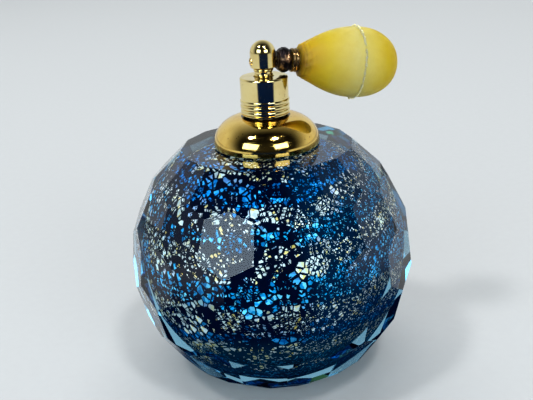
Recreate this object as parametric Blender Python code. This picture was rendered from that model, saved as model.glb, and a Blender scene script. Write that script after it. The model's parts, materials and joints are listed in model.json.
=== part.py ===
"""Perfume atomiser: a faceted crystal ball bottle with a brass spray head and a rubber squeeze bulb.

Metres, +Z up.  The origin is the centre of the flat base, on the bottle's axis, and +X points towards
the squeeze bulb.  Lengths are written in millimetres and scaled by MM where a mesh is made.

The bottle is the root.  The screw collar, with the spray head under it, turns off the neck and lifts out;
the head swivels on the neck, and the ball nut with the bulb unscrews from the head's side arm.
"""
import math

import bmesh
import bpy
from mathutils import Matrix, Vector

MM = 0.001
GAP = 0.3                      # clearance between two pieces that touch on the real object

# Bottle
BALL_CENTRE_Z = 39.0
FACET_DISTANCE = 44.7          # from the ball's centre to each facet
TABLE_Z = 75.5                 # flat table on top
FACETS_PER_ROW = 16
TOP_ROW_LATITUDE = 46
ROW_STEP = 20
FACET_ROWS = 6
CORE_RADIUS = 30.5
CORE_CENTRE_Z = 41.0           # the core sits a little high in the ball
NECK_RADIUS = 4.4
NECK_BORE_RADIUS = 3.2
NECK_FOOT_Z = 66.0             # where the glass neck opens into the well
NECK_TOP_Z = 91.4
WELL_FLOOR_Z = 18.0
WELL_CORNER = 4.0
WELL_RADIUS = 14.0
WELL_SHOULDER_Z = 46.0

# Metalwork on the neck
CEMENT_THICKNESS = 0.5
FLANGE_RADIUS = 11.5
FLANGE_THICKNESS = 0.8
THREAD_ROOT_RADIUS = 5.4
THREAD_DEPTH = 0.4
THREAD_PITCH = 1.5
THREAD_TURNS = 3
THREAD_START_Z = 87.4
THREAD_FOOT = 0.3              # half widths of a ridge at its foot and its crest, as parts of the pitch
THREAD_FLAT = 0.1
FERRULE_TOP_Z = 92.6
FERRULE_LIP_RADIUS = 3.5
DOME_RADIUS = 16.6
DOME_WIDEST_Z = 76.8
DOME_TOP_Z = 84.9
DOME_SHOULDER_RADIUS = 7.2
DOME_WALL = 0.9
DOME_TUCK = 0.5                # how far the rim turns in below its widest circle
COLLAR_RADIUS = 7.45
COLLAR_RIB_RADIUS = 7.65
COLLAR_RIB_HALF_HEIGHT = 0.7
COLLAR_RIB_PITCH = 1.6
COLLAR_RIBS = 3
COLLAR_LOWEST_RIB_Z = 86.6
COLLAR_BOTTOM_Z = 85.6
COLLAR_TOP_Z = 97.2
COLLAR_BORE_RADIUS = 6.9
COLLAR_LIP_THICKNESS = 1.1
COLLAR_HOLE_RADIUS = 3.15
COLLAR_EDGE = 0.5
LINER_BOTTOM_Z = 86.2
LINER_WALL = 0.25

# Spray head, seals and tubes
GASKET_THICKNESS = 0.8
SLIP_WASHER_THICKNESS = 0.4
STEM_FLANGE_THICKNESS = 1.1
STEM_SPIGOT_RADIUS = 2.9
STEM_BOTTOM_Z = 90.0
STEM_SOCKET_RADIUS = 2.5
STEM_SOCKET_TOP_Z = 93.5
STEM_BORE_RADIUS = 0.8
STEM_NECK_RADIUS = 2.75
STEM_BEAD_RADIUS = 3.1
STEM_BEAD_HALF_HEIGHT = 0.45
STEM_TIP_RADIUS = 1.2
STEM_TIP_Z = 100.9
AXIS_Z = 101.85                # height of the jet and of the side arm
HEAD_RADIUS = 3.95
HEAD_BOTTOM_Z = 100.0
HEAD_SHOULDER_Z = 104.2        # the round top starts here
HEAD_FLAT_X = 3.7              # flat milled for the side arm
CROSS_BORE_RADIUS = 1.5
DIP_TUBE_RADIUS = 1.15
DIP_TUBE_BORE = 0.75
DIP_TUBE_BOTTOM_Z = 24.0
NOZZLE_BACK = 1.3
NOZZLE_BORE_RADIUS = 0.8
NOZZLE_THROAT_RADIUS = 0.3
NOZZLE_DISH = 0.25
NOZZLE_PROUD = 0.15            # how far the jet disc stands out of the head
JET_TUBE_RADIUS = 0.45
JET_TUBE_BORE = 0.25
JET_TUBE_TIP = 2.2             # from the head's axis
JET_TUBE_BOTTOM_Z = 97.5
JET_BEND_RADIUS = 0.9

# Bulb and its fittings: distances along the drooping arm from the head's flat
ARM_DROOP = 7.5                # degrees below horizontal
ARM_START = -1.5
ARM_END = 2.3
ARM_RADIUS = 1.0
ARM_BORE_RADIUS = 0.5
ARM_THREAD_DEPTH = 0.3
ARM_THREAD_PITCH = 0.7
ARM_THREAD_START = 1.25
ARM_THREAD_TURNS = 2
WASHER_START = 0.3
WASHER_END = 0.65
WASHER_BORE_RADIUS = 1.4
WASHER_RADIUS = 2.6
NUT_RADIUS = 3.95
NUT_START = 0.95
NUT_END = 4.7
NUT_SWELL = 2.9                # half length that the nut would have without its two flat faces
NUT_BORE_RADIUS = 1.6
CHAMBER_START = 2.6
CHAMBER_RADIUS = 2.5
RETAINER_THICKNESS = 0.4
RETAINER_HOLE = 0.4
RETAINER_SLOT = 0.8            # how far its three slots reach past the hole
VALVE_BALL_RADIUS = 0.65
VALVE_LIFT = 0.6
PLUG_TUBE_RADIUS = 1.6
PLUG_END = 8.9
BULB_RADIUS = 11.2
BULB_WALL = 1.6
BULB_NECK_RADIUS = 2.9
BULB_SHOULDER = 7.5            # the bulb leaves its ferrule here
BULB_SHOULDER_RADIUS = 5.3
BULB_SHOULDER_CORNER = 1.0
BULB_WIDEST = 25.7
BULB_END = 39.75
BULB_END_FULLNESS = 2.3        # exponent of the superellipse at the far end
RING_START = 5.0
RING_END = 7.1
RING_RADIUS = 3.3
RING_BEAD_RADIUS = 3.65

ROUND = 32                     # sides of a large turned piece
SMALL_ROUND = 24               # sides of a small turned piece
TUBE_ROUND = 12                # sides of a thin tube
SMOOTH_ANGLE = math.radians(35)


def clear_scene():
    for old in list(bpy.data.objects):
        bpy.data.objects.remove(old, do_unlink=True)


def make_material(name, colour, roughness, metallic=0.0, transmission=0.0):
    material = bpy.data.materials.new(name)
    material.use_nodes = True
    shader = material.node_tree.nodes["Principled BSDF"]
    shader.inputs["Base Color"].default_value = (*colour, 1.0)
    shader.inputs["Roughness"].default_value = roughness
    shader.inputs["Metallic"].default_value = metallic
    shader.inputs["Transmission Weight"].default_value = transmission
    material.diffuse_color = (*colour, 1.0)
    return material


def make_materials():
    return {
        "crystal": make_material("crystal", (0.95, 0.98, 0.98), 0.02, transmission=1.0),
        "foil_glass": make_material("foil_glass", (0.02, 0.08, 0.2), 0.25),
        "cement": make_material("cement", (0.7, 0.68, 0.6), 0.9),
        "brass": make_material("brass", (0.85, 0.66, 0.3), 0.18, metallic=1.0),
        "inner_brass": make_material("inner_brass", (0.75, 0.56, 0.26), 0.35, metallic=1.0),
        "dark_brass": make_material("dark_brass", (0.12, 0.08, 0.05), 0.45, metallic=1.0),
        "steel": make_material("steel", (0.7, 0.7, 0.72), 0.25, metallic=1.0),
        "gasket": make_material("gasket", (0.06, 0.06, 0.06), 0.8),
        "clear_tube": make_material("clear_tube", (0.85, 0.87, 0.86), 0.3),
        "liner": make_material("liner", (0.85, 0.84, 0.8), 0.5),
        "bulb_rubber": make_material("bulb_rubber", (0.6, 0.48, 0.12), 0.6),
    }


def add_object(name, bm, material, parent=None, smooth=True):
    """Turn a bmesh in millimetres into one named object in metres, with its faces pointing out."""
    bmesh.ops.recalc_face_normals(bm, faces=bm.faces[:])
    bmesh.ops.transform(bm, matrix=Matrix.Scale(MM, 4), verts=bm.verts[:])
    mesh = bpy.data.meshes.new(name)
    bm.to_mesh(mesh)
    bm.free()
    mesh.materials.append(material)
    if smooth:
        mesh.shade_smooth()
        mesh.set_sharp_from_angle(angle=SMOOTH_ANGLE)
    piece = bpy.data.objects.new(name, mesh)
    piece.parent = parent
    bpy.context.collection.objects.link(piece)
    return piece


def add_axis(name, place, tilt):
    """An empty whose local Z, tilted about Y by some degrees, is the axis of its child pieces."""
    axis = bpy.data.objects.new(name, None)
    axis.location = Vector(place) * MM
    axis.rotation_euler = (0.0, math.radians(tilt), 0.0)
    bpy.context.collection.objects.link(axis)
    return axis


def subtract(piece, name, bm, parent=None):
    """Cut a closed bmesh out of a piece with an exact Boolean modifier."""
    cutter = add_object(name, bm, piece.data.materials[0], parent)
    cutter.hide_render = True
    cutter.display_type = "WIRE"
    cut = piece.modifiers.new(name, "BOOLEAN")
    cut.operation = "DIFFERENCE"
    cut.solver = "EXACT"
    cut.object = cutter


def arc(centre, radii, start, end, steps):
    """Points (r, z) on an ellipse from one angle to another, in degrees, both ends included."""
    points = []
    for step in range(steps + 1):
        angle = math.radians(start + (end - start) * step / steps)
        points.append((centre[0] + radii[0] * math.cos(angle), centre[1] + radii[1] * math.sin(angle)))
    return points


def turn(bm, outline, sides, closed):
    """Turn (r, z) points about Z.  A point at r = 0 is a pole; a closed outline joins its two ends."""
    rings = []
    for radius, height in outline:
        if radius == 0.0:
            rings.append([bm.verts.new((0.0, 0.0, height))])
            continue
        angles = [2 * math.pi * side / sides for side in range(sides)]
        rings.append([bm.verts.new((radius * math.cos(a), radius * math.sin(a), height)) for a in angles])
    pairs = list(zip(rings, rings[1:]))
    if closed:
        pairs.append((rings[-1], rings[0]))
    for lower, upper in pairs:
        for side in range(sides):
            corners = [lower[side % len(lower)], lower[(side + 1) % len(lower)]]
            corners += [upper[(side + 1) % len(upper)], upper[side % len(upper)]]
            bm.faces.new(list(dict.fromkeys(corners)))


def turned(name, outline, material, sides=SMALL_ROUND, parent=None):
    """A turned piece: a closed outline off the axis makes a ring, one that ends on the axis a solid."""
    bm = bmesh.new()
    turn(bm, outline, sides, closed=outline[0][0] > 0.0)
    return add_object(name, bm, material, parent)


def ring_outline(inner, outer, bottom, top):
    return [(inner, bottom), (outer, bottom), (outer, top), (inner, top)]


def thread_outline(root, crest, first, turns, pitch=THREAD_PITCH):
    """Ridges at a pitch, in rising order, that stand from the root to the crest radius."""
    foot = pitch * THREAD_FOOT
    flat = pitch * THREAD_FLAT
    points = []
    for turn_number in range(turns):
        middle = first + pitch * turn_number
        points += [(root, middle - foot), (crest, middle - flat), (crest, middle + flat), (root, middle + foot)]
    return points


def cut_facet(bm, normal, distance):
    """Trim a convex solid, centred on the origin, with a plane, and cap the cut."""
    geometry = bm.verts[:] + bm.edges[:] + bm.faces[:]
    cut = bmesh.ops.bisect_plane(bm, geom=geometry, dist=1e-4, plane_co=normal * distance, plane_no=normal,
                                 clear_outer=True)
    edges = [item for item in cut["geom_cut"] if isinstance(item, bmesh.types.BMEdge)]
    if edges:
        bmesh.ops.contextual_create(bm, geom=edges)


def facet_normals():
    """Staggered rows of facets: every second row is turned by half a facet."""
    step = 2 * math.pi / FACETS_PER_ROW
    for row in range(FACET_ROWS):
        latitude = math.radians(TOP_ROW_LATITUDE - ROW_STEP * row)
        for facet in range(FACETS_PER_ROW):
            angle = step * (facet + 0.5 * (row % 2))
            flat = math.cos(latitude)
            yield Vector((flat * math.cos(angle), flat * math.sin(angle), math.sin(latitude)))


def build_casing(materials):
    """Clear crystal: a ball cut into staggered facets, round a spherical hollow that opens at the neck."""
    bm = bmesh.new()
    bmesh.ops.create_cube(bm, size=3 * FACET_DISTANCE)
    cut_facet(bm, Vector((0, 0, -1)), BALL_CENTRE_Z)
    cut_facet(bm, Vector((0, 0, 1)), TABLE_Z - BALL_CENTRE_Z)
    for normal in facet_normals():
        cut_facet(bm, normal, FACET_DISTANCE)
    bmesh.ops.translate(bm, verts=bm.verts[:], vec=(0, 0, BALL_CENTRE_Z))
    bmesh.ops.remove_doubles(bm, verts=bm.verts[:], dist=0.01)

    table = max(bm.faces, key=lambda face: face.calc_center_median().z)
    rim = list(table.edges)
    bmesh.ops.delete(bm, geom=[table], context="FACES_ONLY")
    hollow = CORE_RADIUS + GAP
    throat = NECK_RADIUS + GAP
    outline = [(throat, TABLE_Z)]
    outline += arc((0.0, CORE_CENTRE_Z), (hollow, hollow), math.degrees(math.acos(throat / hollow)), -90, 14)[:-1]
    outline.append((0.0, CORE_CENTRE_Z - hollow))
    turn(bm, outline, ROUND, closed=False)
    hole = [edge for edge in bm.edges if edge.is_boundary and edge not in rim]
    bmesh.ops.triangle_fill(bm, use_beauty=True, edges=rim + hole)
    add_object("glass_casing", bm, materials["crystal"], smooth=False)


def build_core(materials):
    """Dark glass core with the perfume well inside, and the glass neck that stands in its mouth."""
    mouth = NECK_RADIUS + GAP
    outline = [(0.0, CORE_CENTRE_Z - CORE_RADIUS)]
    mouth_angle = math.degrees(math.acos(mouth / CORE_RADIUS))
    outline += arc((0.0, CORE_CENTRE_Z), (CORE_RADIUS, CORE_RADIUS), -90, mouth_angle, 14)[1:]
    shoulder = (WELL_RADIUS - mouth, NECK_FOOT_Z - WELL_SHOULDER_Z)
    outline += arc((mouth, WELL_SHOULDER_Z), shoulder, 90, 0, 7)
    corner = (WELL_RADIUS - WELL_CORNER, WELL_FLOOR_Z + WELL_CORNER)
    outline += arc(corner, (WELL_CORNER, WELL_CORNER), 0, -90, 3)
    outline.append((0.0, WELL_FLOOR_Z))
    turned("foil_core", outline, materials["foil_glass"], ROUND)
    neck = ring_outline(NECK_BORE_RADIUS, NECK_RADIUS, NECK_FOOT_Z, NECK_TOP_Z)
    turned("glass_neck", neck, materials["foil_glass"], ROUND)


def build_neck_metal(materials):
    """The cement ring, the threaded ferrule on the glass neck and the dome that hides them."""
    inner = NECK_RADIUS + GAP
    cement_bottom = TABLE_Z + GAP
    cement_top = cement_bottom + CEMENT_THICKNESS
    cement = ring_outline(inner, FLANGE_RADIUS - GAP, cement_bottom, cement_top)
    turned("neck_cement", cement, materials["cement"])

    flange_bottom = cement_top + GAP
    ferrule = [(inner, flange_bottom), (FLANGE_RADIUS, flange_bottom)]
    ferrule += [(FLANGE_RADIUS, flange_bottom + FLANGE_THICKNESS)]
    ferrule += [(THREAD_ROOT_RADIUS, flange_bottom + FLANGE_THICKNESS)]
    crest = THREAD_ROOT_RADIUS + THREAD_DEPTH
    ferrule += thread_outline(THREAD_ROOT_RADIUS, crest, THREAD_START_Z, THREAD_TURNS)
    ferrule += [(THREAD_ROOT_RADIUS, FERRULE_TOP_Z), (FERRULE_LIP_RADIUS, FERRULE_TOP_Z)]
    ferrule += [(FERRULE_LIP_RADIUS, NECK_TOP_Z + GAP), (inner, NECK_TOP_Z + GAP)]
    turned("neck_ferrule", ferrule, materials["inner_brass"], ROUND)

    centre = (DOME_SHOULDER_RADIUS, DOME_WIDEST_Z)
    outer = (DOME_RADIUS - DOME_SHOULDER_RADIUS, DOME_TOP_Z - DOME_WIDEST_Z)
    inside = (outer[0] - DOME_WALL, outer[1] - DOME_WALL)
    hole = THREAD_ROOT_RADIUS + GAP
    rim = TABLE_Z + GAP
    dome = [(hole, DOME_TOP_Z)]
    dome += arc(centre, outer, 90, 0, 9)
    dome += [(DOME_RADIUS - DOME_TUCK, rim), (DOME_RADIUS - DOME_TUCK - DOME_WALL, rim)]
    dome += arc(centre, inside, 0, 90, 6)
    dome += [(hole, DOME_TOP_Z - DOME_WALL)]
    turned("shoulder_dome", dome, materials["brass"], ROUND)


def build_collar(materials):
    """The screw collar: a cup with a holed lid and three raised ribs, and its threaded liner."""
    outline = [(COLLAR_BORE_RADIUS, COLLAR_BOTTOM_Z), (COLLAR_RADIUS, COLLAR_BOTTOM_Z)]
    for rib in range(COLLAR_RIBS):
        height = COLLAR_LOWEST_RIB_Z + COLLAR_RIB_PITCH * rib
        bulge = (COLLAR_RIB_RADIUS - COLLAR_RADIUS, COLLAR_RIB_HALF_HEIGHT)
        outline += arc((COLLAR_RADIUS, height), bulge, -90, 90, 2)
    edge = (COLLAR_RADIUS - COLLAR_EDGE, COLLAR_TOP_Z - COLLAR_EDGE)
    outline += arc(edge, (COLLAR_EDGE, COLLAR_EDGE), 0, 90, 3)
    outline += [(COLLAR_HOLE_RADIUS, COLLAR_TOP_Z), (COLLAR_HOLE_RADIUS, COLLAR_TOP_Z - COLLAR_LIP_THICKNESS)]
    outline += [(COLLAR_BORE_RADIUS, COLLAR_TOP_Z - COLLAR_LIP_THICKNESS)]
    turned("screw_collar", outline, materials["brass"], ROUND)

    outer = COLLAR_BORE_RADIUS - GAP
    root = outer - LINER_WALL
    crest = THREAD_ROOT_RADIUS + THREAD_DEPTH + GAP
    top = gasket_top() + GAP + SLIP_WASHER_THICKNESS
    between = THREAD_START_Z + THREAD_PITCH / 2
    ridges = thread_outline(root, crest, between, THREAD_TURNS)
    liner = [(outer, LINER_BOTTOM_Z), (outer, top), (root, top), *reversed(ridges), (root, LINER_BOTTOM_Z)]
    turned("collar_liner", liner, materials["liner"], ROUND)


def gasket_top():
    return FERRULE_TOP_Z + GAP + GASKET_THICKNESS


def build_seals(materials):
    """The gasket on the ferrule and the washer that lets the head swivel over it."""
    gasket = ring_outline(FERRULE_LIP_RADIUS, THREAD_ROOT_RADIUS, FERRULE_TOP_Z + GAP, gasket_top())
    turned("seal_gasket", gasket, materials["gasket"])
    bottom = gasket_top() + GAP
    washer = ring_outline(FERRULE_LIP_RADIUS, THREAD_ROOT_RADIUS, bottom, bottom + SLIP_WASHER_THICKNESS)
    turned("slip_washer", washer, materials["steel"])


def build_stem(materials):
    """The ringed stem that holds the head: a flange under the collar's lid, and a socket for the dip tube."""
    flange_bottom = gasket_top() + GAP + SLIP_WASHER_THICKNESS + GAP
    flange_top = flange_bottom + STEM_FLANGE_THICKNESS
    flange_radius = THREAD_ROOT_RADIUS + THREAD_DEPTH
    bead_top = HEAD_BOTTOM_Z - GAP
    outline = [(STEM_SOCKET_RADIUS, STEM_BOTTOM_Z), (STEM_SPIGOT_RADIUS, STEM_BOTTOM_Z)]
    outline += [(STEM_SPIGOT_RADIUS, flange_bottom), (flange_radius, flange_bottom)]
    outline += [(flange_radius, flange_top), (STEM_NECK_RADIUS, flange_top)]
    bead = (STEM_BEAD_RADIUS - STEM_NECK_RADIUS, STEM_BEAD_HALF_HEIGHT)
    outline += arc((STEM_NECK_RADIUS, bead_top - STEM_BEAD_HALF_HEIGHT), bead, -90, 90, 4)
    outline += [(STEM_TIP_RADIUS, bead_top), (STEM_TIP_RADIUS, STEM_TIP_Z), (STEM_BORE_RADIUS, STEM_TIP_Z)]
    outline += [(STEM_BORE_RADIUS, STEM_SOCKET_TOP_Z), (STEM_SOCKET_RADIUS, STEM_SOCKET_TOP_Z)]
    turned("head_stem", outline, materials["brass"])

    top = STEM_SOCKET_TOP_Z - GAP
    bush = ring_outline(DIP_TUBE_RADIUS + GAP, STEM_SOCKET_RADIUS - GAP, STEM_BOTTOM_Z, top)
    turned("tube_bush", bush, materials["liner"])
    tube = ring_outline(DIP_TUBE_BORE, DIP_TUBE_RADIUS, DIP_TUBE_BOTTOM_Z, top)
    turned("dip_tube", tube, materials["clear_tube"], TUBE_ROUND)


def bore_cutter(radius, start, end):
    bm = bmesh.new()
    turn(bm, [(0.0, start), (radius, start), (radius, end), (0.0, end)], TUBE_ROUND * 2, closed=False)
    return bm


def build_head(materials, jet_axis):
    """The round-topped head: bored across for the jet and the arm, bored up from below for the stem."""
    outline = [(0.0, HEAD_BOTTOM_Z), (HEAD_RADIUS, HEAD_BOTTOM_Z)]
    outline += arc((0.0, HEAD_SHOULDER_Z), (HEAD_RADIUS, HEAD_RADIUS), 0, 90, 7)[:-1]
    outline.append((0.0, HEAD_SHOULDER_Z + HEAD_RADIUS))
    head = turned("spray_head", outline, materials["brass"])
    subtract(head, "cut_cross_bore", bore_cutter(CROSS_BORE_RADIUS, -2 * HEAD_RADIUS, 2 * HEAD_RADIUS), jet_axis)
    subtract(head, "cut_stem_bore", bore_cutter(CROSS_BORE_RADIUS, HEAD_BOTTOM_Z - 1.0, AXIS_Z))
    flat = bmesh.new()
    bmesh.ops.create_cube(flat, size=4 * HEAD_RADIUS)
    bmesh.ops.translate(flat, verts=flat.verts[:], vec=(HEAD_FLAT_X + 2 * HEAD_RADIUS, 0.0, AXIS_Z))
    subtract(head, "cut_arm_flat", flat)


def build_nozzle(materials, jet_axis):
    """The jet disc in the side of the head, and the bent tube that feeds it."""
    outer = CROSS_BORE_RADIUS - GAP
    front = HEAD_RADIUS + NOZZLE_PROUD
    outline = [(NOZZLE_BORE_RADIUS, NOZZLE_BACK), (outer, NOZZLE_BACK), (outer, front)]
    outline += [(NOZZLE_BORE_RADIUS, front), (NOZZLE_THROAT_RADIUS, front - NOZZLE_DISH)]
    outline += [(NOZZLE_THROAT_RADIUS, JET_TUBE_TIP + 1.1), (NOZZLE_BORE_RADIUS, JET_TUBE_TIP + 0.6)]
    turned("nozzle_insert", outline, materials["inner_brass"], TUBE_ROUND, jet_axis)

    bend = arc((-JET_BEND_RADIUS, AXIS_Z - JET_BEND_RADIUS), (JET_BEND_RADIUS, JET_BEND_RADIUS), 0, 90, 5)
    route = [(0.0, JET_TUBE_BOTTOM_Z), *bend, (-JET_TUBE_TIP, AXIS_Z)]
    bm = bmesh.new()
    walls = []
    for radius in (JET_TUBE_RADIUS, JET_TUBE_BORE):
        walls.append([sweep_ring(bm, route, index, radius) for index in range(len(route))])
    outer_wall, bore_wall = walls
    loops = outer_wall + bore_wall[::-1]
    for ring, following in zip(loops, loops[1:] + loops[:1]):
        for side in range(len(ring)):
            after = (side + 1) % len(ring)
            bm.faces.new((ring[side], ring[after], following[after], following[side]))
    add_object("liquid_jet", bm, materials["steel"])


def sweep_ring(bm, route, index, radius):
    """One ring of vertices square to a route in the XZ plane."""
    ahead = Vector(route[min(index + 1, len(route) - 1)])
    behind = Vector(route[max(index - 1, 0)])
    along = (ahead - behind).normalized()
    across = Vector((along.y, 0.0, -along.x))
    middle = Vector((route[index][0], 0.0, route[index][1]))
    ring = []
    for side in range(TUBE_ROUND // 2):
        angle = 4 * math.pi * side / TUBE_ROUND
        ring.append(bm.verts.new(middle + radius * (math.cos(angle) * across + math.sin(angle) * Vector((0, 1, 0)))))
    return ring


def build_arm(materials, bulb_axis):
    """The drooping arm on the head, with a threaded end, and the thin washer at its root."""
    outline = [(ARM_BORE_RADIUS, ARM_START), (ARM_RADIUS, ARM_START)]
    outline += thread_outline(ARM_RADIUS, ARM_RADIUS + ARM_THREAD_DEPTH, ARM_THREAD_START, ARM_THREAD_TURNS,
                              ARM_THREAD_PITCH)
    outline += [(ARM_RADIUS, ARM_END), (ARM_BORE_RADIUS, ARM_END)]
    turned("air_arm", outline, materials["inner_brass"], TUBE_ROUND, bulb_axis)
    washer = ring_outline(WASHER_BORE_RADIUS, WASHER_RADIUS, WASHER_START, WASHER_END)
    turned("nut_washer", washer, materials["dark_brass"], SMALL_ROUND, bulb_axis)


def build_ball_nut(materials, bulb_axis):
    """The ball-shaped nut, bored for the arm and, from the bulb's side, for the valve."""
    middle = (NUT_START + NUT_END) / 2
    face = math.degrees(math.asin((NUT_END - NUT_START) / 2 / NUT_SWELL))
    outline = [(NUT_BORE_RADIUS, NUT_START)]
    outline += arc((0.0, middle), (NUT_RADIUS, NUT_SWELL), -face, face, 7)
    outline += [(CHAMBER_RADIUS, NUT_END), (CHAMBER_RADIUS, CHAMBER_START), (NUT_BORE_RADIUS, CHAMBER_START)]
    turned("ball_nut", outline, materials["dark_brass"], SMALL_ROUND, bulb_axis)


def build_valve(materials, bulb_axis):
    """The check valve in the nut: a slotted retainer, a loose ball, and the plug whose step is its seat.

    Squeezed air lifts the ball off the seat against the retainer; returning air drops it back and shuts.
    """
    retainer_start = CHAMBER_START + GAP
    retainer_end = retainer_start + RETAINER_THICKNESS
    bm = bmesh.new()
    inner, outer = RETAINER_HOLE + RETAINER_SLOT, CHAMBER_RADIUS - GAP
    turn(bm, ring_outline(inner, outer, retainer_start, retainer_end), TUBE_ROUND, closed=True)
    for vert in bm.verts:
        angle = math.atan2(vert.co.y, vert.co.x)
        if vert.co.xy.length < (inner + outer) / 2:
            reach = RETAINER_HOLE + RETAINER_SLOT * (0.5 + 0.5 * math.cos(3 * angle))
            vert.co.xy = vert.co.xy.normalized() * reach
    add_object("valve_retainer", bm, materials["inner_brass"], bulb_axis)

    cage_start = retainer_end + GAP
    cage_end = cage_start + 2 * VALVE_BALL_RADIUS + VALVE_LIFT + GAP
    ball = bmesh.new()
    bmesh.ops.create_icosphere(ball, subdivisions=2, radius=VALVE_BALL_RADIUS)
    bmesh.ops.translate(ball, verts=ball.verts[:], vec=(0, 0, cage_end - GAP - VALVE_BALL_RADIUS))
    add_object("valve_ball", ball, materials["steel"], bulb_axis)

    cage = VALVE_BALL_RADIUS + GAP
    plug = [(cage, cage_start), (CHAMBER_RADIUS - GAP, cage_start), (CHAMBER_RADIUS - GAP, RING_START)]
    plug += [(PLUG_TUBE_RADIUS, RING_START), (PLUG_TUBE_RADIUS, PLUG_END), (ARM_BORE_RADIUS, PLUG_END)]
    plug += [(ARM_BORE_RADIUS, cage_end), (cage, cage_end)]
    turned("bulb_plug", plug, materials["inner_brass"], TUBE_ROUND, bulb_axis)


def bulb_curve(shrink, steps):
    """The bulb's profile from its shoulder to its far pole, moved inwards by shrink.

    The radius swells as a quarter sine wave to the widest circle, then closes as a superellipse.
    """
    start = BULB_SHOULDER + BULB_SHOULDER_CORNER
    points = []
    for step in range(steps):
        part = step / steps
        swell = math.sin(part * math.pi / 2)
        radius = BULB_SHOULDER_RADIUS + (BULB_RADIUS - BULB_SHOULDER_RADIUS) * swell
        points.append((radius - shrink, start + (BULB_WIDEST - start) * part))
    power = 2 / BULB_END_FULLNESS
    for step in range(steps):
        angle = math.pi / 2 * step / steps
        radius = (BULB_RADIUS - shrink) * math.cos(angle) ** power
        points.append((radius, BULB_WIDEST + (BULB_END - shrink - BULB_WIDEST) * math.sin(angle) ** power))
    points.append((0.0, BULB_END - shrink))
    return points


def build_bulb(materials, bulb_axis):
    """The hollow rubber bulb and the two-bead ring that clamps its neck on the plug."""
    neck_start = RING_START + GAP
    bore = PLUG_TUBE_RADIUS + GAP
    outside = [(BULB_NECK_RADIUS, neck_start), (BULB_NECK_RADIUS, BULB_SHOULDER)]
    outside += [(BULB_SHOULDER_RADIUS - BULB_SHOULDER_CORNER, BULB_SHOULDER), *bulb_curve(0.0, 8)]
    chamber = BULB_SHOULDER + BULB_SHOULDER_CORNER + BULB_WALL
    inside = [(bore, neck_start), (bore, chamber)]
    inside += [point for point in bulb_curve(BULB_WALL, 6) if point[1] > chamber]
    bm = bmesh.new()
    turn(bm, inside[::-1] + outside, SMALL_ROUND, closed=False)
    add_object("squeeze_bulb", bm, materials["bulb_rubber"], bulb_axis)

    ring = [(BULB_NECK_RADIUS + GAP, RING_START)]
    half = (RING_END - RING_START) / 4
    for middle in (RING_START + half, RING_END - half):
        ring += arc((RING_RADIUS, middle), (RING_BEAD_RADIUS - RING_RADIUS, half), -90, 90, 3)
    ring.append((BULB_NECK_RADIUS + GAP, RING_END))
    turned("bulb_ferrule", ring, materials["dark_brass"], SMALL_ROUND, bulb_axis)


def main():
    clear_scene()
    materials = make_materials()
    jet_axis = add_axis("jet_axis", (0.0, 0.0, AXIS_Z), -90)
    bulb_axis = add_axis("bulb_axis", (HEAD_FLAT_X, 0.0, AXIS_Z), 90 + ARM_DROOP)
    build_casing(materials)
    build_core(materials)
    build_neck_metal(materials)
    build_collar(materials)
    build_seals(materials)
    build_stem(materials)
    build_head(materials, jet_axis)
    build_nozzle(materials, jet_axis)
    build_arm(materials, bulb_axis)
    build_ball_nut(materials, bulb_axis)
    build_valve(materials, bulb_axis)
    build_bulb(materials, bulb_axis)


main()
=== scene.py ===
import json
import math

import bpy
import numpy as np
from mathutils import Matrix, Vector


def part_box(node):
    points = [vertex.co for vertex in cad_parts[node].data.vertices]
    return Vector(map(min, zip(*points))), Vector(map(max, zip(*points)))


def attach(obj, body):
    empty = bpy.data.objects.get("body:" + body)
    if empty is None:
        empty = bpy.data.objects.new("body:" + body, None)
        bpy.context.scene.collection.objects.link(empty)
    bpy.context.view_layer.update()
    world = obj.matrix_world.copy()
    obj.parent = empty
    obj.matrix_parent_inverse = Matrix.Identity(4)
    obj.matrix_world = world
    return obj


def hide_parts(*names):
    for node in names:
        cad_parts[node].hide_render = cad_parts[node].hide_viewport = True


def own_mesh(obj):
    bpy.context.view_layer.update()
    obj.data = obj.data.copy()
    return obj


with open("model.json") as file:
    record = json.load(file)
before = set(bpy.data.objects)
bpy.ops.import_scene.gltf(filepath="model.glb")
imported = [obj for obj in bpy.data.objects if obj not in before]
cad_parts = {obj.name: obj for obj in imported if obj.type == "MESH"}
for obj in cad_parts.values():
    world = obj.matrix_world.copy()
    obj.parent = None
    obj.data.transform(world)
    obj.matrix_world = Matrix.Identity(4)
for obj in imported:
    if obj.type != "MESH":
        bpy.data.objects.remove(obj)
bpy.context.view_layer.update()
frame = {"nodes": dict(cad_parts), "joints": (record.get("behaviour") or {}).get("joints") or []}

MM = 0.001


def span(node):
    """A node's lowest and highest corners at rest, in millimetres."""
    low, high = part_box(node)
    return np.array(low) / MM, np.array(high) / MM


def joint_axis(name):
    """A joint's place in millimetres and its direction."""
    found = next(joint for joint in frame["joints"] if joint["name"] == name)
    return np.array(found["pos_m"]) / MM, np.array(found["axis"])


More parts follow.
